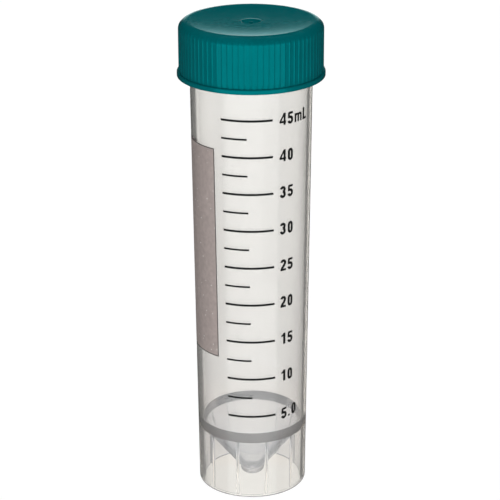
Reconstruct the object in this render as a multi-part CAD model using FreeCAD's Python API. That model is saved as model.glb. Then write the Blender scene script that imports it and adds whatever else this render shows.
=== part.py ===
import FreeCAD, Part

import math
import os

# A 50 ml screw-cap tube with a conical bottom that stands on its own skirt.
# Millimetres. +Z runs up the tube's axis, and the origin is the centre of the ring it stands on.
# The scale faces -Y. Two mouldings: the clear tube and the screw cap.

# ---- tube: barrel and neck ----
tube_height = 117.5              # standing face to rim
base_radius = 13.42              # outside of the skirt at the standing face
neck_radius = 14.62              # outside of the neck, between the threads
neck_length = 11.5               # straight neck, from the rim down to the tapered barrel
barrel_wall = 1.2
rim_round = 0.35                 # edge rounding at the mouth

# ---- tube: conical bottom ----
cone_half_angle = 38.0           # degrees, between the axis and the outside of the cone
cone_meets_skirt = 14.9          # height where the outside of the cone leaves the skirt
cone_wall = 1.65
inner_nose_radius = 1.65         # rounding at the bottom of the bore
tip_radius = 2.85                # blunt round tip under the cone
tip_round = 2.0                  # rounding at the tip's lower edge
tip_clearance = 0.5              # standing face to the bottom of the tip

# ---- tube: skirt and its ribs ----
skirt_wall = 1.15
skirt_edge_round = 0.3
rib_count = 11
rib_width = 0.8
rib_depth = 0.35                 # how far a rib stands in from the skirt
rib_start = 0.4                  # gap between a rib's foot and the standing face
rib_first_angle = -16.4          # degrees from -Y, where +X is at 90 degrees

# ---- screw thread on the neck ----
thread_pitch = 4.0
thread_turns = 1.4
thread_height = 1.0
thread_root_width = 1.9
thread_crest_width = 0.7
thread_below_rim = 2.6           # rim to the middle of the thread at its upper end
thread_sink = 0.2                # how far the thread's root is buried in the neck

# ---- cap ----
cap_roof = 1.9
cap_height = 13.2
thread_clearance = 0.3           # between the thread's crest and the cap's bore
cap_wall = 1.2                   # bore to the valleys between the grip ribs
band_height = 1.2                # plain band at the cap's open end
band_step = 0.35                 # how far the band stands out past the grip ribs
shoulder_radius = 1.95           # rounding between the roof and the side

# ---- grip ribs on the cap ----
grip_count = 80
grip_height = 0.2
grip_width = 0.55
grip_below_roof = 0.9            # roof to the upper ends of the ribs, which follow the shoulder

# ---- sunken roof of the cap, with the gate mark at its centre ----
dish_depth = 0.35
dish_slope_width = 5.0
dish_edge_width = 0.5            # flat ring between the dish and the shoulder
gate_pit_radius = 2.1
gate_pit_depth = 0.35
gate_lip_width = 0.8             # raised lip round the pit, highest a quarter of the way out
gate_lip_height = 0.12
gate_nub_radius = 0.45
gate_nub_height = 0.25

# ---- plug ring inside the cap ----
plug_clearance = 0.15            # between the plug and the mouth
plug_depth = 2.2
plug_wall = 1.0
plug_lead_in = 0.5               # taper at the plug's lower edge

# ---- sizes of the tube that follow from the ones above ----
cone_angle = math.radians(cone_half_angle)
cone_slope = math.tan(cone_angle)
neck_start = tube_height - neck_length
taper = (neck_radius - base_radius) / neck_start
mouth_radius = neck_radius - barrel_wall
bore_base_radius = base_radius - barrel_wall
skirt_foot_radius = base_radius - skirt_wall
skirt_top_radius = skirt_foot_radius + taper * cone_meets_skirt
cone_apex = cone_meets_skirt - skirt_top_radius / cone_slope
inner_apex = cone_apex + cone_wall / math.sin(cone_angle)
nose_centre = inner_apex + inner_nose_radius / math.sin(cone_angle)
tip_top = cone_apex + tip_radius / cone_slope
bore_start = (bore_base_radius + inner_apex * cone_slope) / (cone_slope - taper)
thread_radius = neck_radius + thread_height

# ---- sizes of the cap that follow ----
cap_top = tube_height + cap_roof
cap_bottom = cap_top - cap_height
cap_bore_radius = thread_radius + thread_clearance
grip_valley_radius = cap_bore_radius + cap_wall
grip_radius = grip_valley_radius + grip_height
band_radius = grip_radius + band_step
plug_radius = mouth_radius - plug_clearance
shoulder_start = grip_valley_radius - shoulder_radius
shoulder_end = cap_top - shoulder_radius

UP = FreeCAD.Vector(0, 0, 1)
ORIGIN = FreeCAD.Vector(0, 0, 0)
FULL_TURN = 360.0


def polar(radius, degrees, height):
    """A point at a radius and an angle from -Y, where +X is at 90 degrees."""
    angle = math.radians(degrees)
    return FreeCAD.Vector(radius * math.sin(angle), -radius * math.cos(angle), height)


def arc(start, middle, end):
    return Part.Arc(start, middle, end).toShape()


class Outline:
    """An outline in the plane of the axis, drawn edge by edge and then turned about the axis."""

    def __init__(self, radius, height):
        self.start = FreeCAD.Vector(radius, 0, height)
        self.here = self.start
        self.edges = []

    def line_to(self, radius, height):
        end = FreeCAD.Vector(radius, 0, height)
        self.edges.append(Part.makeLine(self.here, end))
        self.here = end

    def round_to(self, radius, height, centre_radius, centre_height):
        """An arc about a centre, by the shorter way."""
        end = FreeCAD.Vector(radius, 0, height)
        centre = FreeCAD.Vector(centre_radius, 0, centre_height)
        outward = (self.here + end) / 2 - centre
        middle = centre + outward.normalize() * (end - centre).Length
        self.edges.append(arc(self.here, middle, end))
        self.here = end

    def turned(self):
        self.edges.append(Part.makeLine(self.here, self.start))
        return Part.Face(Part.Wire(self.edges)).revolve(ORIGIN, UP, FULL_TURN)


def make_shell():
    """Barrel, neck, cone and skirt as one turned solid."""
    foot = skirt_edge_round
    rim = rim_round
    touch_sine = math.cos(cone_angle)
    touch_drop = math.sin(cone_angle)
    # down the inside of the skirt, and up the outside from the standing face to the rim
    shell = Outline(skirt_top_radius, cone_meets_skirt)
    shell.line_to(skirt_foot_radius, foot)
    shell.round_to(skirt_foot_radius + foot, 0, skirt_foot_radius + foot, foot)
    shell.line_to(base_radius - foot, 0)
    shell.round_to(base_radius, foot, base_radius - foot, foot)
    shell.line_to(neck_radius, neck_start)
    shell.line_to(neck_radius, tube_height - rim)
    shell.round_to(neck_radius - rim, tube_height, neck_radius - rim, tube_height - rim)
    # over the rim and down the bore to the bottom of the cone
    shell.line_to(mouth_radius + rim, tube_height)
    shell.round_to(mouth_radius, tube_height - rim, mouth_radius + rim, tube_height - rim)
    shell.line_to(mouth_radius, neck_start)
    shell.line_to((bore_start - inner_apex) * cone_slope, bore_start)
    shell.line_to(inner_nose_radius * touch_sine, nose_centre - inner_nose_radius * touch_drop)
    shell.round_to(0, nose_centre - inner_nose_radius, 0, nose_centre)
    # round the tip, and back up the underside of the cone
    tip_corner = tip_clearance + tip_round
    shell.line_to(0, tip_clearance)
    shell.line_to(tip_radius - tip_round, tip_clearance)
    shell.round_to(tip_radius, tip_corner, tip_radius - tip_round, tip_corner)
    shell.line_to(tip_radius, tip_top)
    return shell.turned()


def make_skirt_rib(degrees):
    """One upright rib on the inside of the skirt, rounded inwards, with its top buried in the cone."""
    half_width = rib_width / 2
    buried = base_radius - skirt_wall / 2
    inner = skirt_foot_radius - rib_depth
    inside_of_cone = inner_apex + inner / cone_slope
    height = (cone_meets_skirt + inside_of_cone) / 2 - rib_start
    left_root = FreeCAD.Vector(-half_width, -buried, rib_start)
    left_edge = FreeCAD.Vector(-half_width, -inner - half_width, rib_start)
    crest = FreeCAD.Vector(0, -inner, rib_start)
    right_edge = FreeCAD.Vector(half_width, -inner - half_width, rib_start)
    right_root = FreeCAD.Vector(half_width, -buried, rib_start)
    section = Part.Wire([
        Part.makeLine(left_root, left_edge),
        arc(left_edge, crest, right_edge),
        Part.makeLine(right_edge, right_root),
        Part.makeLine(right_root, left_root),
    ])
    rib = Part.Face(section).extrude(UP * height)
    rib.rotate(ORIGIN, UP, degrees)
    return rib


def make_thread():
    """The screw thread: a tapered bar wound round the neck, right-handed, with square ends."""
    start = tube_height - thread_below_rim - thread_pitch * thread_turns
    root = neck_radius - thread_sink
    half_root = thread_root_width / 2
    half_crest = thread_crest_width / 2
    corners = [
        FreeCAD.Vector(root, 0, start - half_root),
        FreeCAD.Vector(thread_radius, 0, start - half_crest),
        FreeCAD.Vector(thread_radius, 0, start + half_crest),
        FreeCAD.Vector(root, 0, start + half_root),
    ]
    section = Part.makePolygon(corners + [corners[0]])
    path = Part.makeHelix(thread_pitch, thread_pitch * thread_turns, neck_radius)
    path.translate(UP * start)
    return Part.Wire(path.Edges).makePipeShell([section], True, True)


def make_tube():
    spacing = FULL_TURN / rib_count
    ribs = [make_skirt_rib(rib_first_angle + spacing * number) for number in range(rib_count)]
    return make_shell().fuse(ribs).fuse(make_thread()).removeSplitter()


def make_cap_body():
    """Roof, shoulder, plain side, band, bore and plug ring as one turned solid."""
    dish_floor = cap_top - dish_depth
    pit_floor = dish_floor - gate_pit_depth
    nub_top = pit_floor + gate_nub_height
    dish_edge = shoulder_start - dish_edge_width
    band_top = cap_bottom + band_height
    plug_foot = tube_height - plug_depth
    body = Outline(0, tube_height)
    # gate mark and dish, from the centre of the roof outwards
    body.line_to(0, nub_top)
    body.line_to(gate_nub_radius, nub_top)
    body.line_to(gate_nub_radius, pit_floor)
    body.line_to(gate_pit_radius - gate_pit_depth, pit_floor)
    body.line_to(gate_pit_radius, dish_floor)
    body.line_to(gate_pit_radius + gate_lip_width / 4, dish_floor + gate_lip_height)
    body.line_to(gate_pit_radius + gate_lip_width, dish_floor)
    body.line_to(dish_edge - dish_slope_width, dish_floor)
    body.line_to(dish_edge, cap_top)
    # shoulder, side and band
    body.line_to(shoulder_start, cap_top)
    body.round_to(grip_valley_radius, shoulder_end, shoulder_start, shoulder_end)
    body.line_to(grip_valley_radius, band_top)
    body.line_to(band_radius, band_top)
    body.line_to(band_radius, cap_bottom)
    # bore, seat and plug ring
    body.line_to(cap_bore_radius, cap_bottom)
    body.line_to(cap_bore_radius, tube_height)
    body.line_to(plug_radius, tube_height)
    body.line_to(plug_radius, plug_foot + plug_lead_in)
    body.line_to(plug_radius - plug_lead_in, plug_foot)
    body.line_to(plug_radius - plug_wall, plug_foot)
    body.line_to(plug_radius - plug_wall, tube_height)
    return body.turned()


def make_grip_ribs():
    """The grip ribs: round bars let into the cap's side, bending inwards with the shoulder."""
    bar_radius = (grip_width ** 2 / 4 + grip_height ** 2) / (2 * grip_height)
    path_radius = grip_radius - bar_radius
    bend_radius = path_radius - shoulder_start
    bend = math.asin((cap_top - grip_below_roof - shoulder_end) / bend_radius)
    stations = []
    for part_of_bend in (0, 0.5, 1):
        radius = shoulder_start + bend_radius * math.cos(bend * part_of_bend)
        height = shoulder_end + bend_radius * math.sin(bend * part_of_bend)
        stations.append(FreeCAD.Vector(radius, 0, height))
    foot = FreeCAD.Vector(path_radius, 0, cap_bottom + band_height / 2)
    path = Part.Wire([Part.makeLine(foot, stations[0]), arc(stations[0], stations[1], stations[2])])
    section = Part.Wire([Part.makeCircle(bar_radius, foot, UP)])
    bar = path.makePipeShell([section], True, False)
    ribs = []
    for number in range(grip_count):
        rib = bar.copy()
        rib.rotate(ORIGIN, UP, FULL_TURN / grip_count * number)
        ribs.append(rib)
    return ribs


def make_cap():
    return make_cap_body().fuse(make_grip_ribs()).removeSplitter()


pieces = {
    "tube": make_tube(),
    "cap": make_cap(),
}

os.makedirs("parts", exist_ok=True)
for name, shape in pieces.items():
    shape.exportStep("parts/" + name + ".step")
    box = shape.optimalBoundingBox(False, False)
    print(name, "solids", len(shape.Solids), "valid", shape.isValid(), "volume", round(shape.Volume, 1),
          "from", round(box.ZMin, 3), "to", round(box.ZMax, 3), "width", round(box.XLength, 3))
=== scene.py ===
import math

import bmesh
import bpy
from mathutils import Matrix, Vector
from mathutils.geometry import delaunay_2d_cdt


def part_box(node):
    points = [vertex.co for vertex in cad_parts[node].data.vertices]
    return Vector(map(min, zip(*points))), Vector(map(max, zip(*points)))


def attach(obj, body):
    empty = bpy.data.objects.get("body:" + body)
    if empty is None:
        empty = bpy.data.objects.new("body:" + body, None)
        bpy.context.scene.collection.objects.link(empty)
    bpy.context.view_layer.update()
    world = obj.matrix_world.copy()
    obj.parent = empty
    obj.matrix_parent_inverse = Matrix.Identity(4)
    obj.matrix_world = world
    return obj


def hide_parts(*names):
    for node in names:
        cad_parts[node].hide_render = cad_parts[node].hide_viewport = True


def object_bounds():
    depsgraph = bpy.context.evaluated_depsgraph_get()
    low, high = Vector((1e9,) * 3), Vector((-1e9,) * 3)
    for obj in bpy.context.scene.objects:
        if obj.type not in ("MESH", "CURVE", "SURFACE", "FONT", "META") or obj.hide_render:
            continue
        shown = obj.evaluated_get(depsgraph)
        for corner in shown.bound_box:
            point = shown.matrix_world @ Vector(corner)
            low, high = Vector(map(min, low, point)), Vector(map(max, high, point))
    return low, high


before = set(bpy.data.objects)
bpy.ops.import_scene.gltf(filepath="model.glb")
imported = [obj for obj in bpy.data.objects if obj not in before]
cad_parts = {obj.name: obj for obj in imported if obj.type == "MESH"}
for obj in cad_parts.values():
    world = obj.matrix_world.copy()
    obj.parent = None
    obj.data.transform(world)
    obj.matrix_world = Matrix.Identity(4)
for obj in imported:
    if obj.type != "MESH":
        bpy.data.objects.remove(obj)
cad_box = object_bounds()
scene = bpy.context.scene

# Sizes are millimetres until a mesh is made. Angles round the axis are degrees from -Y, with +X at 90.
MM = 0.001
FULL_TURN = 360.0
HAIR = 0.001
tube_low, tube_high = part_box("tube")
cap_low, cap_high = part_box("cap")

# ---- tube: sizes
standing_level = tube_low.z / MM
rim_level = tube_high.z / MM
base_radius = 13.42
neck_radius = 14.62
neck_length = 11.5
barrel_wall = 1.2
rim_round = 0.35
skirt_wall = 1.15
foot_round = 0.3
cone_half_angle = math.radians(38.0)
cone_meets_skirt = standing_level + 14.9
cone_wall = 1.65
inner_nose_radius = 1.65
tip_radius = 3.0
tip_round = 1.6
tip_bottom = standing_level + 0.9

rib_count = 11
rib_half_width = 0.4
rib_depth = 0.35
rib_top_depth = 0.04
rib_fade = 2.5
rib_start = standing_level + 0.4
rib_first_angle = -16.4
rib_ring_heights = [14.4, 13.9, 13.4, 12.9, 12.4, 9.0, 5.0, 1.0, 0.5]

neck_start = rim_level - neck_length
cone_slope = math.tan(cone_half_angle)
barrel_taper = (neck_radius - base_radius) / (neck_start - standing_level)
mouth_radius = neck_radius - barrel_wall
skirt_foot_radius = base_radius - skirt_wall
skirt_top_radius = skirt_foot_radius + barrel_taper * cone_meets_skirt
cone_apex = cone_meets_skirt - skirt_top_radius / cone_slope
inner_apex = cone_apex + cone_wall / math.sin(cone_half_angle)
nose_centre = inner_apex + inner_nose_radius / math.sin(cone_half_angle)
nose_touch = nose_centre - inner_nose_radius * math.sin(cone_half_angle)
tip_top = cone_apex + tip_radius / cone_slope
bore_base_radius = base_radius - barrel_wall
bore_start = (bore_base_radius + inner_apex * cone_slope) / (cone_slope - barrel_taper)
bore_start_radius = (bore_start - inner_apex) * cone_slope

# ---- screw thread: sizes
thread_pitch = 4.0
thread_turns = 1.4
thread_height = 1.0
thread_root_width = 1.9
thread_crest_width = 0.7
thread_start = rim_level - 2.6 - thread_pitch * thread_turns
thread_run_in = 0.05
thread_bed = thread_start - 1.2
thread_bed_end = rim_level - 0.8
thread_row = 0.13
# added to turns from -Y, so that the thread starts at +X and no turn is below 0
thread_seam = 1.75
cap_thread_height = 0.95
cap_thread_root_width = 1.6
cap_thread_start = thread_start - thread_pitch / 2
cap_thread_end = cap_thread_start + thread_pitch * thread_turns
cap_thread_row = 0.2

# ---- cap: sizes
cap_top = cap_high.z / MM
cap_bottom = cap_low.z / MM
cap_thread_bed = cap_bottom + 0.7
cap_bore_radius = neck_radius + thread_height + 0.3
grip_valley_radius = cap_bore_radius + 1.2
grip_half_width = 0.275
grip_rise = 0.11
grip_foot_ease = 0.1
grip_top_ease = 0.12
grip_count = 80
grip_top = cap_top - 0.9
band_top = cap_bottom + 1.2
grip_bottom = band_top + 0.05
band_radius = cap_high.y / MM - HAIR
shoulder_radius = 1.95
shoulder_start = grip_valley_radius - shoulder_radius
shoulder_end = cap_top - shoulder_radius
dish_floor = cap_top - 0.4
dish_edge = shoulder_start - 0.5
dish_floor_radius = 3.3
dish_power = 2.2
dish_steps = 9
gate_pit_radius = 2.1
pit_floor = dish_floor - 0.35
gate_lip_width = 0.8
gate_nub_radius = 0.45
gate_nub_height = 0.25
plug_radius = mouth_radius - 0.15
plug_wall = 1.0
plug_foot = rim_level - 2.2
plug_lead_in = 0.5

# ---- print: sizes
print_proud = 0.02
print_sunk = 0.01
# an angle or a rise is given at the lowest mark and at the highest, because the print is a little askew
mark_first = 5.0
mark_last = 45.0
mark_step = 2.5
mark_left = (-24.96, -29.1)
long_mark_right = (25.27, 20.19)
short_mark_right = (0.85, -4.35)
long_mark_width = 0.54
short_mark_width = 0.46
mark_length_points = 40
mark_width_points = 3
bleed = 0.05
bleed_stretch = (30.0, 0.0, 3000.0)
bleed_seed = 3.0

number_step = 5
number_left = (30.3, 27.2)
number_rise = (0.15, -0.05)
digit_height = 2.93
digit_advance = 2.2
stem_width = 0.64
bar_width = 0.55
thin_width = 0.42
point_size = 0.5
stroke_step = 0.33
lead_of_five = 0.35
drop_of_five = 0.38
lean_of_five = 0.12

patch_bottom = 37.7
patch_top = 91.4
patch_near = (-35.6, -37.0)
patch_sweep = 53.0
patch_level_steps = 40
patch_angle_steps = 100
border_width = 0.28

MICROLITRE = 1000.0
barrel_foot_radius = base_radius - barrel_taper * standing_level
barrel_numbers = {"Foot Radius": barrel_foot_radius * MM, "Taper": barrel_taper}


def placed(name, data):
    """A new object in the scene."""
    made = bpy.data.objects.new(name, data)
    scene.collection.objects.link(made)
    return made


def ring_point(radius, degrees, height):
    """A point in metres at a radius, an angle and a height."""
    angle = math.radians(degrees)
    return Vector((radius * math.sin(angle), -radius * math.cos(angle), height)) * MM


def arc_path(centre_x, centre_z, across, up, start, finish, steps=10):
    """Points along part of an ellipse, with angles in degrees above +X."""
    path = []
    for step in range(steps + 1):
        angle = math.radians(start + (finish - start) * step / steps)
        path.append((centre_x + across * math.cos(angle), centre_z + up * math.sin(angle)))
    return path


# ---- outlines that are turned about the axis
def rounded_outline(corners, arc_step=15.0, hug=0.08):
    """Points (radius, height) along an outline. A corner is (radius, height, rounding, spacing of the points
    on the run that follows it). A rounding of 0 is a plain corner. Each rounding and plain corner has a point
    close by on its runs, so that the shading of a flat run stays flat."""
    ends = []
    for number, (radius, height, rounding, _) in enumerate(corners):
        here = Vector((radius, height))
        if rounding == 0 or number in (0, len(corners) - 1):
            ends.append([here])
            continue
        before = Vector(corners[number - 1][:2])
        after = Vector(corners[number + 1][:2])
        back = (before - here).normalized()
        on = (after - here).normalized()
        half = back.angle(on) / 2
        centre = here + (back + on).normalized() * (rounding / math.sin(half))
        start = here + back * (rounding / math.tan(half)) - centre
        finish = here + on * (rounding / math.tan(half)) - centre
        sweep = start.angle_signed(finish)
        steps = max(2, math.ceil(abs(math.degrees(sweep)) / arc_step))
        turned = []
        for step in range(steps + 1):
            angle = -sweep * step / steps
            turned.append(centre + Matrix.Rotation(angle, 2) @ start)
        ends.append(turned)
    points = []
    for number, corner_points in enumerate(ends):
        points.extend(corner_points)
        if number == len(ends) - 1:
            break
        start = corner_points[-1]
        finish = ends[number + 1][0]
        length = (finish - start).length
        if length < 1e-6:
            points.pop()
            continue
        spacing = corners[number][3]
        near = min(hug, length / 4)
        inner = length - 2 * near
        steps = max(1, math.ceil(inner / spacing))
        along = [near + inner * step / steps for step in range(steps + 1)]
        points.extend(start.lerp(finish, distance / length) for distance in along)
    return points


def closed_shell(name, first_pole, rings, last_pole, sharp):
    """A closed mesh from rings of points, with a pole at either end. sharp says whether the edge between two
    neighbouring points, each given as (ring, column), keeps a crease."""
    columns = len(rings[0])
    places = [first_pole]
    for ring in rings:
        places.extend(ring)
    places.append(last_pole)
    last = len(places) - 1
    faces = []
    for column in range(columns):
        beside = (column + 1) % columns
        faces.append((0, 1 + beside, 1 + column))
        top = 1 + (len(rings) - 1) * columns
        faces.append((last, top + column, top + beside))
        for number in range(len(rings) - 1):
            low = 1 + number * columns
            high = low + columns
            faces.append((low + column, low + beside, high + beside, high + column))
    mesh = bpy.data.meshes.new(name)
    mesh.from_pydata([tuple(place) for place in places], [], faces)
    mesh.shade_smooth()
    for edge in mesh.edges:
        pair = [vertex - 1 for vertex in edge.vertices]
        if min(pair) >= 0 and max(pair) < last - 1:
            edge.use_edge_sharp = sharp(*[(vertex // columns, vertex % columns) for vertex in pair])
    return placed(name, mesh)


def give_numbers(mesh, name, values):
    """A named number on each point of a mesh."""
    mesh.attributes.new(name, "FLOAT", "POINT").data.foreach_set("value", values)


def mark_points(piece, name, test):
    """Gives each point a 1 where the test holds and a 0 elsewhere. The test takes the point's distance from
    the axis and its height, in millimetres."""
    places = [vertex.co / MM for vertex in piece.data.vertices]
    marks = [1.0 if test(math.hypot(place.x, place.y), place.z) else 0.0 for place in places]
    give_numbers(piece.data, name, marks)


# ---- node trees that shape meshes
class Wiring:
    """A short way to write a node tree: nodes by kind, sums by name, links by socket."""

    def __init__(self, tree):
        self.tree = tree

    def node(self, kind, inputs=(), **settings):
        """A new node with its settings made, and then its inputs fed by name or by number."""
        made = self.tree.nodes.new(kind)
        for name, value in settings.items():
            setattr(made, name, value)
        for label, value in dict(inputs).items():
            self.feed(made.inputs[label], value)
        return made

    def feed(self, socket, value):
        if isinstance(value, bpy.types.NodeSocket):
            self.tree.links.new(value, socket)
        else:
            socket.default_value = value

    def maths(self, operation, *values):
        return self.node("ShaderNodeMath", enumerate(values), operation=operation).outputs[0]

    def plus(self, first, second):
        return self.maths("ADD", first, second)

    def minus(self, first, second):
        return self.maths("SUBTRACT", first, second)

    def times(self, first, second):
        return self.maths("MULTIPLY", first, second)

    def vector(self, operation, inputs):
        return self.node("ShaderNodeVectorMath", inputs, operation=operation).outputs[0]

    def separate(self, vector):
        return self.node("ShaderNodeSeparateXYZ", {0: vector}).outputs

    def combine(self, **inputs):
        return self.node("ShaderNodeCombineXYZ", inputs).outputs[0]

    def eased(self, value, start, end):
        """0 before start, 1 after end, and a smooth step between."""
        ends = {"Value": value, "From Min": start, "From Max": end}
        return self.node("ShaderNodeMapRange", ends, interpolation_type="SMOOTHSTEP").outputs["Result"]

    def named(self, name):
        made = self.node("GeometryNodeInputNamedAttribute", {"Name": name}, data_type="FLOAT")
        return made.outputs["Attribute"]

    def position(self):
        return self.node("GeometryNodeInputPosition").outputs[0]

    def moved(self, geometry, **inputs):
        """Geometry with each point moved to a Position or by an Offset."""
        return self.node("GeometryNodeSetPosition", {"Geometry": geometry, **inputs}).outputs["Geometry"]


def shaping_tree(name, labels):
    """The wiring of a new geometry tree, its group input, and a socket for each number that it takes."""
    tree = bpy.data.node_groups.new(name, "GeometryNodeTree")
    kinds = {"Geometry": "Geometry", **dict.fromkeys(labels, "Float"), "Material": "Material"}
    for label, kind in kinds.items():
        tree.interface.new_socket(label, in_out="INPUT", socket_type="NodeSocket" + kind)
    tree.interface.new_socket("Geometry", in_out="OUTPUT", socket_type="NodeSocketGeometry")
    wires = Wiring(tree)
    given = wires.node("NodeGroupInput")
    return wires, given, [given.outputs[label] for label in labels]


def finished_tree(wires, given, geometry):
    """The end of each tree: real geometry, in one material."""
    realized = wires.node("GeometryNodeRealizeInstances", {"Geometry": geometry})
    painting = {"Geometry": realized.outputs["Geometry"], "Material": given.outputs["Material"]}
    painted = wires.node("GeometryNodeSetMaterial", painting)
    wires.node("NodeGroupOutput", {"Geometry": painted.outputs["Geometry"]})
    return wires.tree


def cylindrical(wires):
    """Sockets for a point's distance from the axis, its angle in turns from -Y, and its height, in metres."""
    x, y, z = wires.separate(wires.position())
    distance = wires.maths("SQRT", wires.plus(wires.times(x, x), wires.times(y, y)))
    angle = wires.maths("ARCTAN2", x, wires.times(y, -1.0))
    return distance, wires.maths("DIVIDE", angle, math.tau), z


def outward(wires, length):
    """A level vector away from the axis, of a length."""
    flat = wires.vector("MULTIPLY", {0: wires.position(), 1: (1.0, 1.0, 0.0)})
    return wires.vector("SCALE", {0: wires.vector("NORMALIZE", {0: flat}), "Scale": length})


def thread_tree():
    """Winds a screw thread on the points that are marked: a ridge that climbs round the axis."""
    labels = ["Start", "Pitch", "Turns", "Height", "Root Width", "Crest Width", "Run In"]
    wires, given, (start, pitch, turns, height, root, crest, run_in) = shaping_tree("screw_thread", labels)
    _, turn, level = cylindrical(wires)
    # how many turns up the thread this point's level is, and the nearest pass of the thread to it
    share = wires.maths("FRACT", wires.plus(turn, thread_seam))
    climb = wires.maths("DIVIDE", wires.minus(level, start), pitch)
    above = wires.minus(climb, share)
    nearest = wires.maths("ROUND", above)
    off_centre = wires.times(wires.maths("ABSOLUTE", wires.minus(above, nearest)), pitch)
    done = wires.plus(share, nearest)
    ridge = wires.eased(off_centre, wires.times(root, 0.5), wires.times(crest, 0.5))
    begun = wires.eased(done, 0.0, run_in)
    left = wires.eased(wires.minus(turns, done), 0.0, run_in)
    rise = wires.times(wires.times(ridge, height), wires.times(begun, left))
    rise = wires.times(rise, wires.named("threaded"))
    return finished_tree(wires, given, wires.moved(given.outputs["Geometry"], Offset=outward(wires, rise)))


def grip_tree():
    """Raises the grip ribs: round bars let into the cap's side, which bend inwards with the shoulder."""
    labels = ["Count", "Height", "Half Width", "Bottom", "Top", "Shoulder Radius", "Shoulder Height"]
    wires, given, numbers = shaping_tree("grip_ribs", labels)
    count, height, half_width, bottom, top, bend_radius, bend_height = numbers
    distance, turn, level = cylindrical(wires)
    # the distance along the surface from the middle of the nearest rib
    share = wires.minus(wires.maths("FRACT", wires.plus(wires.times(turn, count), 0.5)), 0.5)
    aside = wires.times(wires.maths("DIVIDE", share, count), wires.times(distance, math.tau))
    # the radius of the bar's own section, and how far that section stands out there
    squares = wires.plus(wires.times(half_width, half_width), wires.times(height, height))
    bar = wires.maths("DIVIDE", squares, wires.times(height, 2.0))
    rest = wires.minus(wires.times(bar, bar), wires.times(aside, aside))
    section = wires.maths("SQRT", wires.maths("MAXIMUM", rest, 0.0))
    rise = wires.maths("MAXIMUM", wires.minus(section, wires.minus(bar, height)), 0.0)
    low_end = wires.eased(level, bottom, wires.plus(bottom, grip_foot_ease * MM))
    top_end = wires.eased(level, top, wires.minus(top, grip_top_ease * MM))
    rise = wires.times(rise, wires.times(low_end, wires.times(top_end, wires.named("gripped"))))
    # straight out on the side, and away from the shoulder's own centre above it
    sideways = outward(wires, wires.minus(distance, bend_radius))
    upwards = wires.combine(Z=wires.maths("MAXIMUM", wires.minus(level, bend_height), 0.0))
    away = wires.vector("NORMALIZE", {0: wires.vector("ADD", {0: sideways, 1: upwards})})
    offset = wires.vector("SCALE", {0: away, "Scale": rise})
    return finished_tree(wires, given, wires.moved(given.outputs["Geometry"], Offset=offset))


def wrap_on_barrel(wires, geometry, foot_radius, taper):
    """Bends flat print onto the tapered barrel. Its X is the angle from -Y in radians, its Y how far it
    stands out from the barrel, and its Z the height."""
    angle, proud, level = wires.separate(wires.position())
    radius = wires.plus(wires.plus(foot_radius, wires.times(taper, level)), proud)
    across = wires.times(radius, wires.maths("SINE", angle))
    along = wires.times(wires.times(radius, wires.maths("COSINE", angle)), -1.0)
    wrapped = wires.moved(geometry, Position=wires.combine(X=across, Y=along, Z=level))
    # standing out along Y, the flat print is a mirror image, so its faces turn over
    return wires.node("GeometryNodeFlipFaces", {"Mesh": wrapped}).outputs["Mesh"]


def wrap_tree():
    wires, given, numbers = shaping_tree("print_on_barrel", list(barrel_numbers))
    return finished_tree(wires, given, wrap_on_barrel(wires, given.outputs["Geometry"], *numbers))


def graduation_tree():
    """Draws one flat bar for each point it is given, as long and as wide as the point says, and wraps them
    all on the barrel. Small seeded unevenness in the bars' edges stands for the screen's bleed."""
    labels = [*barrel_numbers, "Proud", "Sunk", "Bleed"]
    wires, given, (foot_radius, taper, proud, sunk, edge_bleed) = shaping_tree("graduation_marks", labels)
    cut = {"Size": (1.0, 1.0, 1.0), "Vertices X": mark_length_points, "Vertices Z": mark_width_points}
    bar = wires.node("GeometryNodeMeshCube", cut).outputs["Mesh"]
    seated = wires.node("GeometryNodeTransform", {"Geometry": bar, "Translation": (0.5, 0.5, 0.0)})
    size = wires.combine(X=wires.named("bar_length"), Y=wires.plus(proud, sunk), Z=wires.named("bar_width"))
    bars = wires.node("GeometryNodeInstanceOnPoints", {
        "Points": given.outputs["Geometry"], "Instance": seated.outputs["Geometry"], "Scale": size,
    })
    real = wires.node("GeometryNodeRealizeInstances", {"Geometry": bars.outputs["Instances"]})
    stretched = wires.vector("MULTIPLY", {0: wires.position(), 1: bleed_stretch})
    cloud = {"Vector": stretched, "W": bleed_seed, "Scale": 1.0}
    rough = wires.node("ShaderNodeTexNoise", cloud, noise_dimensions="4D").outputs["Fac"]
    uneven = wires.times(wires.minus(rough, 0.5), edge_bleed)
    shift = wires.combine(Y=wires.times(sunk, -1.0), Z=uneven)
    moved = wires.moved(real.outputs["Geometry"], Offset=shift)
    return finished_tree(wires, given, wrap_on_barrel(wires, moved, foot_radius, taper))


def shaped(piece, tree, material, numbers):
    """Runs a tree on a piece with these inputs, and keeps the result as the piece's plain mesh."""
    modifier = piece.modifiers.new(tree.name, "NODES")
    modifier.node_group = tree
    for socket in tree.interface.items_tree:
        if socket.in_out == "INPUT" and socket.name in numbers:
            modifier[socket.identifier] = float(numbers[socket.name])
        elif socket.in_out == "INPUT" and socket.name == "Material":
            modifier[socket.identifier] = material
    bpy.context.view_layer.update()
    evaluated = piece.evaluated_get(bpy.context.evaluated_depsgraph_get())
    mesh = bpy.data.meshes.new_from_object(evaluated)
    piece.modifiers.remove(modifier)
    old = piece.data
    piece.data = mesh
    mesh.name = piece.name
    bpy.data.meshes.remove(old)
    return piece


# ---- materials
def new_material(name, plain=()):
    """A material, its wiring and its shader, with the values that are the same all over the surface."""
    material = bpy.data.materials.new(name)
    material.use_nodes = True
    shader = material.node_tree.nodes["Principled BSDF"]
    for label, value in dict(plain).items():
        shader.inputs[label].default_value = value
    return material, Wiring(material.node_tree), shader


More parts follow.
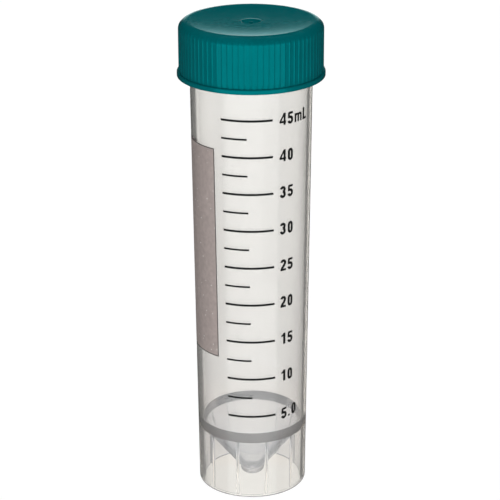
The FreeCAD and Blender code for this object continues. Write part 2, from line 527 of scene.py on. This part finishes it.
def object_pattern(wires, scale, detail=3.0, stretch=(1.0, 1.0, 1.0)):
    """A soft cloudy pattern in the piece's own space."""
    place = wires.node("ShaderNodeTexCoord").outputs["Object"]
    fitted = wires.node("ShaderNodeMapping", {"Vector": place, "Scale": stretch}).outputs["Vector"]
    cloud = {"Vector": fitted, "Scale": scale, "Detail": detail}
    return wires.node("ShaderNodeTexNoise", cloud).outputs["Fac"]


def spread(wires, value, low, high):
    """The middle of a pattern's range, spread from low to high."""
    ends = {"Value": value, "From Min": 0.3, "From Max": 0.7, "To Min": low, "To Max": high}
    return wires.node("ShaderNodeMapRange", ends).outputs["Result"]


def relief(wires, shader, pattern, strength, depth):
    bump = wires.node("ShaderNodeBump", {"Strength": strength, "Distance": depth, "Height": pattern})
    wires.feed(shader.inputs["Normal"], bump.outputs["Normal"])


def blended(wires, share, first, second):
    mix = {"Factor": share}
    for label, colour in (("A", first), ("B", second)):
        mix[label] = (*colour, 1.0) if isinstance(colour, tuple) else colour
    return wires.node("ShaderNodeMix", mix, data_type="RGBA").outputs["Result"]


def coated(wires, shader, colour, roughness):
    wires.feed(shader.inputs["Base Color"], colour)
    wires.feed(shader.inputs["Roughness"], roughness)


def clear_plastic():
    """Clear moulded plastic: it bends light, is a little milky, tints with depth, and has faint waves."""
    material, wires, shader = new_material("clear_plastic", {
        "Base Color": (0.96, 0.965, 0.98, 1.0), "Transmission Weight": 0.876, "IOR": 1.49,
    })
    haze = object_pattern(wires, 160.0, 2.0, (1.0, 1.0, 0.25))
    wires.feed(shader.inputs["Roughness"], spread(wires, haze, 0.02, 0.05))
    relief(wires, shader, object_pattern(wires, 90.0, 2.0, (1.0, 1.0, 0.12)), 0.25, 0.00006)
    depth = wires.node("ShaderNodeVolumeAbsorption", {"Color": (0.5, 0.25, 0.0, 1.0), "Density": 20.0})
    wires.feed(material.node_tree.nodes["Material Output"].inputs["Volume"], depth.outputs["Volume"])
    return material


def teal_plastic():
    """Coloured moulded plastic with a satin skin, a slightly uneven colour and fine grain from the mould."""
    material, wires, shader = new_material("teal_plastic", {
        "IOR": 1.49, "Specular IOR Level": 0.55, "Specular Tint": (0.0, 0.95, 1.0, 1.0),
    })
    tint = spread(wires, object_pattern(wires, 220.0, 4.0), 0.0, 1.0)
    colour = blended(wires, tint, (0.0, 0.153, 0.17), (0.0, 0.165, 0.183))
    coated(wires, shader, colour, spread(wires, object_pattern(wires, 900.0), 0.15, 0.22))
    relief(wires, shader, object_pattern(wires, 2600.0, 2.0), 0.3, 0.00002)
    return material


def scale_ink():
    """Black screen ink, a little uneven in its gloss and depth."""
    material, wires, shader = new_material("scale_ink", {"Specular IOR Level": 0.25})
    depth = object_pattern(wires, 1500.0)
    colour = blended(wires, depth, (0.001, 0.001, 0.001), (0.009, 0.008, 0.008))
    coated(wires, shader, colour, spread(wires, object_pattern(wires, 2500.0, 2.0), 0.4, 0.6))
    return material


def patch_ink():
    """Matt writing ink, white in itself but coloured a greyish mauve that is painted shade, with a fine grain
    and pale specks where the screen left a pinhole.
    """
    material, wires, shader = new_material("writing_patch_ink")
    grain = object_pattern(wires, 900.0, 4.0)
    # painted shade: the patch is white ink, and these greyish mauve colours stand for the shade it is seen in
    painted_shade_ground = blended(wires, spread(wires, grain, 0.0, 1.0), (0.46, 0.385, 0.365), (0.56, 0.475, 0.45))
    place = wires.node("ShaderNodeTexCoord").outputs["Object"]
    speckle = wires.node("ShaderNodeTexVoronoi", {"Vector": place, "Scale": 560.0})
    speck = wires.maths("LESS_THAN", speckle.outputs["Distance"], 0.1)
    colour = blended(wires, wires.times(speck, 0.9), painted_shade_ground, (0.85, 0.82, 0.8))
    coated(wires, shader, colour, spread(wires, grain, 0.6, 0.8))
    relief(wires, shader, grain, 0.3, 0.00002)
    return material


def patch_border_ink():
    """The darker line round the writing patch."""
    material, wires, shader = new_material("patch_border_ink")
    grain = object_pattern(wires, 1200.0)
    colour = blended(wires, grain, (0.12, 0.108, 0.105), (0.18, 0.162, 0.155))
    coated(wires, shader, colour, spread(wires, grain, 0.55, 0.75))
    return material


def thread_numbers(start, height, root_width):
    return {
        "Start": start * MM, "Pitch": thread_pitch * MM, "Turns": thread_turns, "Height": height * MM,
        "Root Width": root_width * MM, "Crest Width": thread_crest_width * MM, "Run In": thread_run_in,
    }


# ---- tube
def wall_radius(height):
    """Inside of the skirt at a height."""
    return skirt_foot_radius + barrel_taper * (height - standing_level)


def build_tube(material, threads):
    spacing = FULL_TURN / rib_count
    crest_steps = 6
    between = 22
    root_angle = math.degrees(math.asin(rib_half_width / skirt_foot_radius))
    # the columns of one sector: across a rib, and then over to the next one
    across = crest_steps + 3
    sector = [root_angle * (2 * number / (across - 1) - 1) for number in range(across)]
    gap = spacing - 2 * root_angle
    sector += [root_angle + gap * number / between for number in range(1, between)]
    columns = []
    for number in range(rib_count):
        for place, angle in enumerate(sector):
            columns.append((rib_first_angle + spacing * number, angle, place))

    def plain_ring(radius, height):
        return [ring_point(radius, middle + angle, height) for middle, angle, _ in columns]

    def ribbed_ring(height=None):
        """The inside of the skirt with its ribs, at a height, or where it meets the cone."""
        ring = []
        for middle, angle, place in columns:
            level = cone_meets_skirt if height is None else height
            radius = wall_radius(level)
            # the rib's crest stands upright, and fades out under the cone
            below = min(1.0, (cone_meets_skirt - level) / rib_fade)
            depth = rib_top_depth + (rib_depth - rib_top_depth) * below
            crest = radius + (skirt_foot_radius - radius) * below - depth
            bar_radius = (rib_half_width ** 2 + depth ** 2) / (2 * depth)
            bar_centre = crest + bar_radius
            half_sweep = math.asin(min(1.0, rib_half_width / bar_radius))
            aside = angle
            if place == 0 or place == across - 1:
                aside = math.copysign(math.degrees(math.asin(rib_half_width / radius)), angle)
            elif place < across - 1:
                turn = half_sweep * (2 * (place - 1) / crest_steps - 1)
                over = bar_radius * math.sin(turn)
                out = bar_centre - bar_radius * math.cos(turn)
                radius = math.hypot(over, out)
                aside = math.degrees(math.atan2(over, out))
            if height is None:
                level = cone_apex + radius / cone_slope
            ring.append(ring_point(radius, middle + aside, level))
        return ring

    under = rounded_outline([
        (0.0, tip_bottom, 0, 0.5),
        (tip_radius, tip_bottom, tip_round, 0.4),
        (tip_radius, tip_top, 0.25, 1.8),
        (skirt_top_radius, cone_meets_skirt, 0, 1.0),
    ])[1:-1]
    rings = [plain_ring(radius, height) for radius, height in under]
    junction = len(rings)
    rings.append(ribbed_ring())
    rings += [ribbed_ring(standing_level + height) for height in rib_ring_heights]
    rib_foot = len(rings)
    rings.append(ribbed_ring(rib_start))
    rings.append(plain_ring(wall_radius(rib_start), rib_start))
    outside = rounded_outline([
        (wall_radius(rib_start), rib_start, 0, 1.0),
        (skirt_foot_radius, standing_level, foot_round, 1.0),
        (base_radius, standing_level, foot_round, 6.0),
        (neck_radius, neck_start, 0, 1.2),
        (neck_radius, thread_bed, 0, thread_row),
        (neck_radius, thread_bed_end, 0, 0.4),
        (neck_radius, rim_level, rim_round, 0.2),
        (mouth_radius, rim_level, rim_round, 2.0),
        (mouth_radius, neck_start, 0, 8.0),
        (bore_start_radius, bore_start, 0.25, 1.5),
        (inner_nose_radius * math.cos(cone_half_angle), nose_touch, 0, 1.0),
    ])
    rings += [plain_ring(radius, height) for radius, height in outside[1:]]
    lean = math.degrees(cone_half_angle)
    nose = arc_path(0.0, nose_centre, inner_nose_radius, inner_nose_radius, -lean, -90, 8)[1:-1]
    rings += [plain_ring(*Vector(place)) for place in nose]

    def sharp(first, second):
        (ring_a, column_a), (ring_b, column_b) = first, second
        if ring_a == ring_b:
            if ring_a == junction:
                return True
            in_rib = max(column_a % len(sector), column_b % len(sector)) < across
            return ring_a in (rib_foot, rib_foot + 1) and in_rib
        low, high = sorted((ring_a, ring_b))
        at_root = column_a % len(sector) in (0, across - 1) and column_a == column_b
        return at_root and junction <= low and high <= rib_foot + 1

    first_pole = ring_point(0, 0, tip_bottom)
    last_pole = ring_point(0, 0, nose_centre - inner_nose_radius)
    tube = closed_shell("clear_tube", first_pole, rings, last_pole, sharp)
    mark_points(tube, "threaded", lambda out, height: out > neck_radius - HAIR and height > thread_bed - 0.1)
    return shaped(tube, threads, material, thread_numbers(thread_start, thread_height, thread_root_width))


# ---- cap
def build_cap(material, threads, grips):
    spacing = FULL_TURN / grip_count
    half_rib = math.degrees(grip_half_width / grip_valley_radius)
    sector = [half_rib * place for place in (-1.0, -0.5, 0.0, 0.5, 1.0)]
    angles = [spacing * number + angle for number in range(grip_count) for angle in sector]
    dish_curve = []
    for step in range(1, dish_steps):
        share = step / dish_steps
        radius = dish_floor_radius + (dish_edge - dish_floor_radius) * share
        dish_curve.append((radius, dish_floor + (cap_top - dish_floor) * share ** dish_power, 0, 2.0))
    outline = rounded_outline([
        (0.0, pit_floor + gate_nub_height, 0, 0.4),
        (gate_nub_radius, pit_floor + gate_nub_height, 0.1, 0.3),
        (gate_nub_radius, pit_floor, 0.04, 0.5),
        (gate_pit_radius - 0.35, pit_floor, 0.15, 0.5),
        (gate_pit_radius + gate_lip_width / 4, dish_floor + 0.04, 0.3, 0.3),
        (gate_pit_radius + gate_lip_width, dish_floor, 1.2, 1.0),
        (dish_floor_radius, dish_floor, 0, 1.0),
        *dish_curve,
        (dish_edge, cap_top, 0.3, 0.3),
        (grip_valley_radius, cap_top, shoulder_radius, 0.9),
        (grip_valley_radius, band_top, 0.06, 0.2),
        (band_radius, band_top, 0.32, 0.4),
        (band_radius, cap_bottom, 0.12, 0.6),
        (cap_bore_radius, cap_bottom, 0.2, 0.3),
        (cap_bore_radius, cap_thread_bed, 0, cap_thread_row),
        (cap_bore_radius, cap_thread_end + 1.1, 0, 0.8),
        (cap_bore_radius, rim_level, 0.12, 0.8),
        (plug_radius, rim_level, 0.12, 0.8),
        (plug_radius, plug_foot + plug_lead_in, 0.2, 0.4),
        (plug_radius - plug_lead_in, plug_foot, 0.12, 0.3),
        (plug_radius - plug_wall, plug_foot, 0.12, 0.8),
        (plug_radius - plug_wall, rim_level, 0.2, 3.0),
        (0.0, rim_level, 0, 3.0),
    ])
    rings = [[ring_point(radius, angle, height) for angle in angles] for radius, height in outline[1:-1]]
    first_pole = ring_point(0, 0, outline[0][1])
    last_pole = ring_point(0, 0, outline[-1][1])

    def sharp(first, second):
        """The feet of the grip ribs keep their creases."""
        (ring_a, column_a), (ring_b, column_b) = first, second
        low_ring = outline[1 + min(ring_a, ring_b)]
        on_side = low_ring.y > grip_bottom and low_ring.x > shoulder_start + 0.6
        return ring_a != ring_b and on_side and column_a % len(sector) in (0, len(sector) - 1)

    cap = closed_shell("screw_cap", first_pole, rings, last_pole, sharp)
    cap.data.flip_normals()

    mark_points(cap, "gripped", lambda out, height: height > grip_bottom and out > shoulder_start + 0.3)
    bore_low = cap_thread_bed - 0.3
    mark_points(cap, "threaded", lambda out, height: abs(out - cap_bore_radius) < HAIR and height > bore_low)
    shaped(cap, grips, material, {
        "Count": grip_count, "Height": grip_rise * MM, "Half Width": grip_half_width * MM,
        "Bottom": band_top * MM, "Top": grip_top * MM,
        "Shoulder Radius": shoulder_start * MM, "Shoulder Height": shoulder_end * MM,
    })
    cut = thread_numbers(cap_thread_start, -cap_thread_height, cap_thread_root_width)
    return shaped(cap, threads, material, cut)


# ---- print
def bore_volume(level):
    """Millilitres in the tube up to a level: the rounded nose, the cone and the tapered bore."""
    floor = nose_centre - inner_nose_radius
    depth = nose_touch - floor
    volume = math.pi * depth ** 2 * (inner_nose_radius - depth / 3)

    def frustum(low_radius, high_radius, height):
        return math.pi * height * (low_radius ** 2 + low_radius * high_radius + high_radius ** 2) / 3

    cone_end = min(level, bore_start)
    low_radius = (nose_touch - inner_apex) * cone_slope
    volume += frustum(low_radius, (cone_end - inner_apex) * cone_slope, cone_end - nose_touch)
    if level > bore_start:
        top_radius = bore_start_radius + (level - bore_start) * barrel_taper
        volume += frustum(bore_start_radius, top_radius, level - bore_start)
    return volume / MICROLITRE


def level_of(millilitres):
    """The height to which a volume fills the bore."""
    low, high = nose_centre, rim_level
    for _ in range(50):
        middle = (low + high) / 2
        if bore_volume(middle) < millilitres:
            low = middle
        else:
            high = middle
    return (low + high) / 2


def barrel_radius(level):
    return barrel_foot_radius + barrel_taper * level


def print_skew(level, at_lowest, at_highest):
    """A value that changes evenly from the lowest mark to the highest."""
    low, high = level_of(mark_first), level_of(mark_last)
    return at_lowest + (at_highest - at_lowest) * (level - low) / (high - low)


def build_marks(material):
    places, lengths, widths = [], [], []
    for number in range(round((mark_last - mark_first) / mark_step) + 1):
        whole = number % 2 == 0
        level = level_of(mark_first + mark_step * number)
        start = math.radians(print_skew(level, *mark_left))
        end = math.radians(print_skew(level, *(long_mark_right if whole else short_mark_right)))
        places.append((start, 0.0, level * MM))
        lengths.append(end - start)
        widths.append((long_mark_width if whole else short_mark_width) * MM)
    points = bpy.data.meshes.new("scale_lines")
    points.from_pydata(places, [], [])
    give_numbers(points, "bar_length", lengths)
    give_numbers(points, "bar_width", widths)
    return shaped(placed("scale_lines", points), graduation_tree(), material, {
        **barrel_numbers, "Proud": print_proud * MM, "Sunk": print_sunk * MM, "Bleed": bleed * MM,
    })


def digit_strokes(mark):
    """One character's strokes, in millimetres from the lower left corner of its cell, each as a width and the
    points of its middle line, and how far it is from this cell to the next."""
    top = digit_height - bar_width / 2
    foot = bar_width / 2
    spring = 1.55
    upper = arc_path(0.85, top - 0.6, 0.46, 0.6, 0, 180)
    lower = arc_path(0.85, foot + 0.6, 0.46, 0.6, 180, 360)
    hook = arc_path(0.97, top - 0.57, 0.5, 0.57, 172, -20)
    strokes = {
        "0": [(stem_width, upper + lower + upper[:1])],
        "1": [(stem_width, [(1.27, 0.0), (1.27, digit_height)]),
              (thin_width, [(0.4, 2.1), (0.78, 2.2), (1.1, 2.66)])],
        "2": [(stem_width, hook + [(1.12, 1.3), (0.72, 0.8), (0.48, foot)]),
              (bar_width, [(0.2, foot), (1.74, foot)])],
        "3": [(stem_width, arc_path(0.84, top - 0.55, 0.5, 0.55, 170, -90)),
              (stem_width, arc_path(0.84, foot + 0.63, 0.52, 0.65, 90, -170))],
        "4": [(0.57, [(1.35, 0.0), (1.35, digit_height)]),
              (0.5, [(0.0, 0.74), (1.78, 0.74)]),
              (thin_width, [(1.3, digit_height - 0.05), (0.1, 0.72)])],
        "5": [(bar_width, [(0.3, top), (1.58, top)]),
              (bar_width, [(0.44, top + 0.1), (0.34, 1.35)]),
              (stem_width, arc_path(0.83, foot + 0.68, 0.55, 0.7, 125, -165))],
        "m": [(bar_width, [(0.25, 0.0), (0.25, 2.17)]),
              *[(bar_width, arc_path(place, spring, 0.5, 0.36, 180, 0)) for place in (0.75, 1.75)],
              *[(bar_width, [(place, 0.0), (place, spring)]) for place in (1.25, 2.25)]],
        "L": [(stem_width, [(0.29, 0.0), (0.29, digit_height)]),
              (bar_width, [(0.0, foot), (1.5, foot)])],
        ".": [(point_size, [(0.0, point_size / 2), (point_size, point_size / 2)])],
    }
    advances = {"m": 3.0, "L": 1.5, ".": 1.0}
    return strokes[mark], advances.get(mark, digit_advance)


def stroke_outline(path, width):
    """The two sides of a stroke of even width along a path, with a point at each stroke_step."""
    fine = [Vector(path[0])]
    for place in path[1:]:
        start, finish = fine[-1], Vector(place)
        steps = max(1, math.ceil((finish - start).length / stroke_step))
        fine += [start.lerp(finish, step / steps) for step in range(1, steps + 1)]
    sides = ([], [])
    for number, place in enumerate(fine):
        before = fine[max(0, number - 1)]
        after = fine[min(len(fine) - 1, number + 1)]
        along = (after - before).normalized()
        across = Vector((-along.y, along.x)) * (width / 2)
        sides[0].append(place + across)
        sides[1].append(place - across)
    return sides


def flat_character(mark, left, base, lean, builder):
    """Adds one character's flat face, as the union of its strokes, to a mesh in millimetres."""
    strokes, advance = digit_strokes(mark)
    corners, quads = [], []
    for width, path in strokes:
        one, other = stroke_outline(path, width)
        first = len(corners)
        for near, far in zip(one, other):
            corners += [near, far]
        for step in range(len(one) - 1):
            low = first + 2 * step
            quads.append([low, low + 1, low + 3, low + 2])
    places, _, faces, _, _, owners = delaunay_2d_cdt(corners, [], quads, 0, 1e-5, True)
    made = {}
    for face, owner in zip(faces, owners):
        if not owner:
            continue
        for vertex in face:
            if vertex not in made:
                x, z = places[vertex]
                made[vertex] = builder.verts.new((left + x, 0.0, base + z + lean * x))
        builder.faces.new([made[vertex] for vertex in face])
    return advance


def wrapped_print(name, builder, tree, material):
    """Makes flat faces a thin closed slab, from just inside the barrel's skin to just outside it, and wraps
    it on the barrel."""
    extruded = bmesh.ops.extrude_face_region(builder, geom=builder.faces[:])
    raised = {item for item in extruded["geom"] if isinstance(item, bmesh.types.BMVert)}
    for vertex in builder.verts:
        vertex.co.y = print_proud if vertex in raised else -print_sunk
    bmesh.ops.recalc_face_normals(builder, faces=builder.faces[:])
    places = [(vertex.co.x, vertex.co.y * MM, vertex.co.z * MM) for vertex in builder.verts]
    builder.verts.index_update()
    # the faces are put in one order, because the extrusion's own order differs from run to run
    faces = []
    for face in builder.faces:
        corners = [vertex.index for vertex in face.verts]
        first = corners.index(min(corners))
        faces.append(corners[first:] + corners[:first])
    builder.free()
    mesh = bpy.data.meshes.new(name)
    mesh.from_pydata(places, [], sorted(faces))
    return shaped(placed(name, mesh), tree, material, barrel_numbers)


def build_numbers(tree, material):
    builder = bmesh.new()
    lowest, highest = round(mark_first), round(mark_last)
    texts = {lowest: "5.0", highest: "45mL"}
    for millilitres in range(lowest, highest + 1, number_step):
        level = level_of(millilitres)
        left = math.radians(print_skew(level, *number_left)) * barrel_radius(level)
        base = level - digit_height / 2 + print_skew(level, *number_rise)
        lean = 0.0
        if millilitres == lowest:
            left += lead_of_five
            base -= drop_of_five
            lean = lean_of_five
        before = set(builder.verts)
        for mark in texts.get(millilitres, str(millilitres)):
            advance = flat_character(mark, left, base, lean, builder)
            left += advance
            base += advance * lean
        for vertex in set(builder.verts) - before:
            vertex.co.x /= barrel_radius(level)
    return wrapped_print("scale_numbers", builder, tree, material)


def framed_steps(start, end, border, count):
    """Values from start to end: even steps, and a border's width at either end."""
    inner = end - start - 2 * border
    even = [start + border + inner * step / count for step in range(1, count + 1)]
    return [start, start + border, *even, end]


def build_patch(tree, painted_shade_ground, border):
    """The writing patch, and the thin line round it."""
    levels = framed_steps(patch_bottom, patch_top, border_width, patch_level_steps)
    border_angle = math.degrees(border_width / barrel_radius((patch_bottom + patch_top) / 2))
    turns = framed_steps(0.0, patch_sweep, border_angle, patch_angle_steps)

    def corner_angle(level, turn):
        share = (level - patch_bottom) / (patch_top - patch_bottom)
        return math.radians(patch_near[0] + (patch_near[1] - patch_near[0]) * share - turn)

    pieces = []
    for name, material in (("writing_patch", painted_shade_ground), ("writing_patch_border", border)):
        builder = bmesh.new()
        grid = {}
        for row in range(len(levels) - 1):
            for column in range(len(turns) - 1):
                on_edge = row in (0, len(levels) - 2) or column in (0, len(turns) - 2)
                if on_edge != (material == border):
                    continue
                corners = []
                for r, c in ((row, column), (row, column + 1), (row + 1, column + 1), (row + 1, column)):
                    if (r, c) not in grid:
                        grid[r, c] = builder.verts.new((corner_angle(levels[r], turns[c]), 0.0, levels[r]))
                    corners.append(grid[r, c])
                builder.faces.new(corners)
        pieces.append(wrapped_print(name, builder, tree, material))
    return pieces


threads = thread_tree()
wrap = wrap_tree()
tube = build_tube(clear_plastic(), threads)
cap = build_cap(teal_plastic(), threads, grip_tree())
ink = scale_ink()
lines = build_marks(ink)
numbers = build_numbers(wrap, ink)
patch, patch_border = build_patch(wrap, patch_ink(), patch_border_ink())

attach(tube, "tube")
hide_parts("tube")
tube.visible_shadow = False
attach(cap, "cap")
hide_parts("cap")
for piece, slot in ((lines, "scale_ink"), (numbers, "scale_ink"), (patch, "writing_patch_ink"),
                    (patch_border, "writing_patch_ink")):
    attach(piece, "tube")

# ---- floor, light and camera
scene.view_settings.view_transform = "Standard"


def build_floor():
    """A pale floor, at the level of the tube's foot, which gloss and glass look past to the studio."""
    size = 3.0
    level = cad_box[0].z
    corners = [(-size, -size, level), (size, -size, level), (size, size, level), (-size, size, level)]
    mesh = bpy.data.meshes.new("floor")
    mesh.from_pydata(corners, [], [(0, 1, 2, 3)])
    material, wires, shader = new_material("pale_floor", {
        "Base Color": (0.86, 0.86, 0.85, 1.0), "Roughness": 0.7,
    })
    glow = wires.node("ShaderNodeEmission", {"Strength": 1.08})
    share = wires.times(wires.node("ShaderNodeLightPath").outputs["Is Camera Ray"], 0.88)
    layers = {"Fac": share, 1: shader.outputs["BSDF"], 2: glow.outputs["Emission"]}
    mix = wires.node("ShaderNodeMixShader", layers)
    wires.feed(material.node_tree.nodes["Material Output"].inputs["Surface"], mix.outputs["Shader"])
    mesh.materials.append(material)
    floor = placed("floor", mesh)
    floor.visible_glossy = False
    floor.visible_transmission = False


def build_world():
    """White to the camera, an even soft light on the object, and for gloss and for glass a white studio with
    darker sides."""
    world = bpy.data.worlds.new("studio")
    scene.world = world
    world.use_nodes = True
    world.cycles.sampling_method = "NONE"
    wires = Wiring(world.node_tree)
    x, y, z = wires.separate(wires.node("ShaderNodeTexCoord").outputs["Generated"])
    # degrees from straight behind the object, with +X positive, and degrees above level
    aside = wires.times(wires.maths("ARCTAN2", x, y), math.degrees(1.0))
    above = wires.times(wires.maths("ARCSINE", z), math.degrees(1.0))
    either_side = wires.maths("ABSOLUTE", aside)
    path = wires.node("ShaderNodeLightPath").outputs

    def zone(value, rise_start, rise_end, fall_start, fall_end):
        """1 between two soft edges, and 0 outside them."""
        risen = wires.eased(value, rise_start, rise_end)
        return wires.minus(risen, wires.eased(value, fall_start, fall_end))

    def chosen(share, if_not, if_so):
        mix = {"Factor": share, "A": if_not, "B": if_so}
        return wires.node("ShaderNodeMix", mix, data_type="FLOAT").outputs["Result"]

    # what gloss mirrors: a softbox low in front, a low strip behind, and dark elsewhere
    front = wires.eased(either_side, 122.0, 128.0)
    front_below = wires.times(front, wires.minus(1.0, wires.eased(above, 0.0, 6.0)))
    behind = wires.minus(1.0, wires.eased(either_side, 6.0, 13.0))
    low_behind = wires.times(behind, zone(above, -8.0, -5.0, 5.5, 12.3))
    softbox = chosen(wires.eased(above, -19.0, -15.0), 0.6, 2.0)
    shine = chosen(front_below, chosen(low_behind, 0.02, 1.35), softbox)
    # what is seen straight through the plastic: white near level, black steeply below and grey above
    steep = wires.eased(above, -32.0, -42.0)
    gentle = wires.minus(1.0, steep)
    plain_view = chosen(steep, chosen(wires.eased(above, -30.0, -14.0), 0.866, 1.103), 0.0)
    plain_view = chosen(wires.eased(above, 4.0, 20.0), plain_view, 0.25)
    # what is seen through it by light that was mirrored on the way: dark, with pale zones
    unlit = 0.2
    beside = wires.times(zone(aside, 2.0, 6.0, 20.0, 28.0), gentle)
    turned_view = chosen(front, chosen(beside, unlit, 1.5), 1.3)
    low = wires.eased(above, -26.2, -27.0)
    left_side = zone(aside, -110.0, -90.0, -46.0, -40.0)
    right_side = zone(aside, 40.0, 46.0, 90.0, 110.0)
    left_view = chosen(low, chosen(wires.eased(above, -24.0, -20.0), unlit, 0.93), 0.4)
    right_view = chosen(low, chosen(wires.eased(above, -18.8, -17.0), unlit, 0.9), 1.3)
    turned_view = chosen(wires.times(left_side, gentle), turned_view, left_view)
    turned_view = chosen(wires.times(right_side, gentle), turned_view, right_view)
    turned = wires.maths("MINIMUM", path["Glossy Depth"], 1.0)
    through = chosen(turned, plain_view, turned_view)
    fill = 0.09
    strength = chosen(path["Is Glossy Ray"], fill, shine)
    strength = chosen(path["Is Transmission Ray"], strength, through)
    strength = chosen(path["Is Camera Ray"], strength, 1.0)
    # a warm white through the plastic, cooler steeply below, and teal in the gloss
    lower = blended(wires, wires.eased(above, -18.0, -27.0), (1.0, 0.973, 0.895), (1.0, 0.965, 0.885))
    lower = blended(wires, zone(above, -27.7, -27.4, -25.6, -25.0), lower, (1.0, 0.94, 0.845))
    warm = blended(wires, steep, lower, (0.93, 0.96, 1.0))
    gloss = blended(wires, wires.eased(above, 5.0, 11.0), (0.8, 1.0, 1.0), (0.12, 1.0, 1.0))
    tint = blended(wires, path["Is Glossy Ray"], (1.0, 1.0, 1.0), gloss)
    tint = blended(wires, path["Is Transmission Ray"], tint, warm)
    background = world.node_tree.nodes["Background"]
    wires.feed(background.inputs["Strength"], strength)
    wires.feed(background.inputs["Color"], tint)


def soft_lamp(name, place, size, power):
    """A lamp that points at the middle of the object, and isn't seen itself."""
    middle = (cad_box[0] + cad_box[1]) / 2
    data = bpy.data.lights.new(name, "AREA")
    data.shape = "RECTANGLE"
    data.size, data.size_y = size
    data.energy = power
    lamp = placed(name, data)
    lamp.location = place
    lamp.rotation_euler = (middle - Vector(place)).to_track_quat("-Z", "Y").to_euler()
    lamp.visible_camera = False
    lamp.visible_glossy = False
    lamp.visible_transmission = False


def build_camera():
    """A long lens, looking down at the front of the tube from a little above the cap."""
    place = Vector((0.0025, -0.4475, 0.2359))
    pitch, yaw, roll = math.radians(21.31), math.radians(-0.375), math.radians(-0.2)
    ahead = Vector((math.sin(yaw) * math.cos(pitch), math.cos(yaw) * math.cos(pitch), -math.sin(pitch)))
    level_right = Vector((math.cos(yaw), -math.sin(yaw), 0.0))
    level_up = level_right.cross(ahead)
    right = level_right * math.cos(roll) + level_up * math.sin(roll)
    up = level_up * math.cos(roll) - level_right * math.sin(roll)
    data = bpy.data.cameras.new("camera")
    data.lens = 140.8
    data.sensor_width = 36.0
    data.clip_start = 0.01
    data.clip_end = 20.0
    camera = placed("camera", data)
    camera.matrix_world = Matrix((
        (right.x, up.x, -ahead.x, place.x),
        (right.y, up.y, -ahead.y, place.y),
        (right.z, up.z, -ahead.z, place.z),
        (0.0, 0.0, 0.0, 1.0),
    ))
    scene.camera = camera


build_floor()
build_world()
soft_lamp("front_softbox", (0.0, -0.75, 0.17), (0.5, 0.32), 3.45)
soft_lamp("top_softbox", (0.0, 0.55, 0.8), (0.8, 0.8), 5.6)
build_camera()
